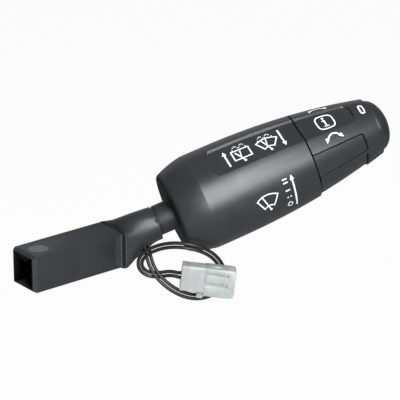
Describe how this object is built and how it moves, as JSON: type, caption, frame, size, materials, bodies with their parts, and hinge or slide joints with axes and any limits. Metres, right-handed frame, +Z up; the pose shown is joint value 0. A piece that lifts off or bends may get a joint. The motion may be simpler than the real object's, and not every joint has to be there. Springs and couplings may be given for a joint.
{
  "type": "combination stalk switch",
  "caption": "Steering-column stalk switch: square socket arm, tapered barrel with a marked flat panel, twist knob with a domed end push button, and a short two-wire lead with a plug.",
  "frame": {"origin": "middle of the mouth of the square socket in the arm", "axes": "+X runs into the arm and away from the column, +Z is up as the picture shows it, -Y is the front, where the barrel bends to; the barrel's axis crosses the arm's at x = 0.030 m, 18.8 degrees up and 21.7 degrees to the front"},
  "size_m": [0.1512, 0.064, 0.0746],
  "materials": {
    "stalk_plastic": "fine-grained satin, charged black",
    "carrier_plastic": "natural, smooth",
    "plated_steel": "zinc plated",
    "spring_steel": "drawn wire",
    "board_laminate": "green solder resist over glass laminate",
    "component_plastic": "moulded black",
    "stem_plastic": "red, smooth",
    "tinned_brass": "tin plated",
    "wire_insulation": "glossy black insulation",
    "natural_nylon": "uncoloured, slightly translucent"
  },
  "bodies": {
    "lever": {"socket_arm": "stalk_plastic", "rear_cover": "stalk_plastic", "barrel_shell": "stalk_plastic", "core_carrier": "carrier_plastic", "carrier_screws": "plated_steel", "circuit_board": "board_laminate", "board_screws": "plated_steel", "coding_resistors": "component_plastic", "link_pins": "tinned_brass", "contact_disc": "board_laminate", "solder_tags": "tinned_brass", "cable_clamp": "carrier_plastic", "push_switch": "component_plastic", "centring_spring": "spring_steel", "retaining_clip": "plated_steel", "button_spring": "spring_steel", "wire_1": "wire_insulation", "wire_2": "wire_insulation", "connector_hood": "natural_nylon", "connector_housing": "natural_nylon", "crimp_terminals": "tinned_brass"},
    "knob": {"rotary_knob": "stalk_plastic", "contact_rotor": "carrier_plastic", "wiper_blades": "tinned_brass"},
    "button": {"end_button": "stalk_plastic", "button_plunger": "carrier_plastic"},
    "stem": {"switch_stem": "stem_plastic"}
  },
  "joints": [
    {"name": "knob_turn", "type": "hinge", "parent": "lever", "child": "knob", "pos_m": [0.12675, -0.0385, 0.03545], "axis": [0.8796, -0.35, 0.3223], "range_deg": [-20, 20], "stiffness_Nm_per_rad": 0.2},
    {"name": "end_button_press", "type": "slide", "parent": "lever", "child": "button", "axis": [-0.8796, 0.35, -0.3223], "range_m": [0, 0.002], "stiffness_N_per_m": 800, "springref_m": -0.002, "deforming": ["button_spring"]},
    {"name": "switch_stem_press", "type": "slide", "parent": "lever", "child": "stem", "axis": [-0.8796, 0.35, -0.3223], "range_m": [0, 0.002]}
  ],
  "couplings": [
    {"joint": "switch_stem_press", "follows": "end_button_press", "ratio": 1}
  ]
}
